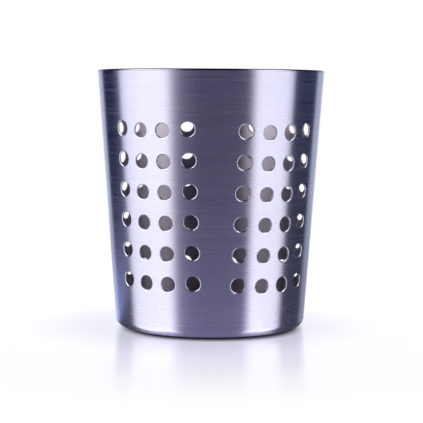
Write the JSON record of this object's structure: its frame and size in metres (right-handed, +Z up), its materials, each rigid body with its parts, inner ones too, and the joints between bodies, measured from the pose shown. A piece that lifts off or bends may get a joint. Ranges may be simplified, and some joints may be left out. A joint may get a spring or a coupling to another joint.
{
  "type": "cutlery stand",
  "caption": "Tapered round cup of thin perforated steel sheet with a folded rim, a drained base plate and a soft foot ring, for standing cutlery upright to drain and dry.",
  "frame": {"origin": "centre of the resting face, on the cup's axis", "axes": "+Z up along the cup's axis, -Y towards the viewer of the picture (a plain land between two groups of holes faces that way)"},
  "size_m": [0.12, 0.12, 0.136],
  "materials": {
    "wall_steel": "fine brushing round the cup, bright",
    "plate_steel": "satin mill finish",
    "foot_rubber": "matt black"
  },
  "bodies": {
    "root": {"side_wall": "wall_steel", "base_plate": "plate_steel", "foot_ring": "foot_rubber"}
  },
  "joints": []
}
